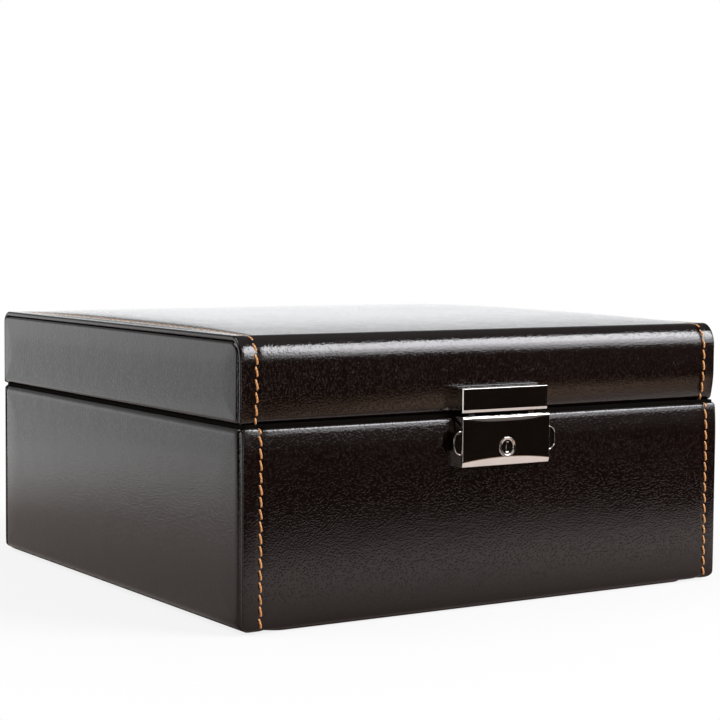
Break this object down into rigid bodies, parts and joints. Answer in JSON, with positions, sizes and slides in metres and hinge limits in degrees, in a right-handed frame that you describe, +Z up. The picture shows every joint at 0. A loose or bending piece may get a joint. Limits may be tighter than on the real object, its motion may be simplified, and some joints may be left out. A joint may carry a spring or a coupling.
{
  "type": "pocket watch display box",
  "caption": "Closed leather-covered display box for pocket watches, with a padded hinged lid, contrast stitching and a polished squeeze lock with a key barrel at the front.",
  "frame": {"origin": "middle of the rest face, on the surface that the box stands on", "axes": "+X to the right as seen from the front, -Y out of the front with the lock, +Z up"},
  "size_m": [0.213, 0.2103, 0.103],
  "materials": {
    "dark_leather": "glossy, fine grain",
    "suede": "napped",
    "board": "sanded, bare",
    "foam": "soft foam",
    "black_nickel": "mirror polish",
    "steel": "plated",
    "hinge_steel": "black nickel plate"
  },
  "bodies": {
    "base": {"foot_sheet": "suede", "base_floor_board": "board", "base_front_board": "board", "base_back_board": "board", "base_left_board": "board", "base_right_board": "board", "base_cover": "dark_leather", "base_left_panel": "dark_leather", "base_right_panel": "dark_leather", "base_floor_liner": "suede", "base_wall_liners": "suede", "front_divider": "suede", "back_divider": "suede", "left_divider": "suede", "right_divider": "suede", "pad_front_left": "suede", "pad_front_middle": "suede", "pad_front_right": "suede", "pad_middle_left": "suede", "pad_middle": "suede", "pad_middle_right": "suede", "pad_back_left": "suede", "pad_back_middle": "suede", "pad_back_right": "suede", "lock_case": "black_nickel", "lock_back_plate": "steel", "lock_screws": "steel", "left_tab_spring": "steel", "right_tab_spring": "steel", "left_hinge_base_leaf": "hinge_steel", "right_hinge_base_leaf": "hinge_steel", "hinge_pins": "hinge_steel", "base_hinge_screws": "steel"},
    "lid": {"lid_top_board": "board", "lid_front_board": "board", "lid_back_board": "board", "lid_left_board": "board", "lid_right_board": "board", "lid_foam": "foam", "lid_cover": "dark_leather", "lid_left_panel": "dark_leather", "lid_right_panel": "dark_leather", "lid_wall_liners": "suede", "lid_cushion": "suede", "catch_block": "black_nickel", "catch_tongue": "steel", "catch_screws": "steel", "left_hinge_lid_leaf": "hinge_steel", "right_hinge_lid_leaf": "hinge_steel", "lid_hinge_screws": "steel"},
    "left_tab": {"left_tab": "black_nickel"},
    "right_tab": {"right_tab": "black_nickel"},
    "key_barrel": {"key_barrel": "black_nickel"}
  },
  "joints": [
    {"name": "lid_hinge", "type": "hinge", "parent": "base", "child": "lid", "pos_m": [0, 0.10175, 0.07055], "axis": [-1, 0, 0], "range_deg": [0, 95]},
    {"name": "left_tab_press", "type": "slide", "parent": "base", "child": "left_tab", "axis": [1, 0, 0], "range_m": [0, 0.002], "stiffness_N_per_m": 400, "springref_m": -0.002, "deforming": ["left_tab_spring"]},
    {"name": "right_tab_press", "type": "slide", "parent": "base", "child": "right_tab", "axis": [-1, 0, 0], "range_m": [0, 0.002], "stiffness_N_per_m": 400, "springref_m": -0.002, "deforming": ["right_tab_spring"]},
    {"name": "key_turn", "type": "hinge", "parent": "base", "child": "key_barrel", "pos_m": [0, -0.104, 0.0588], "axis": [0, 1, 0], "range_deg": [0, 90]}
  ]
}
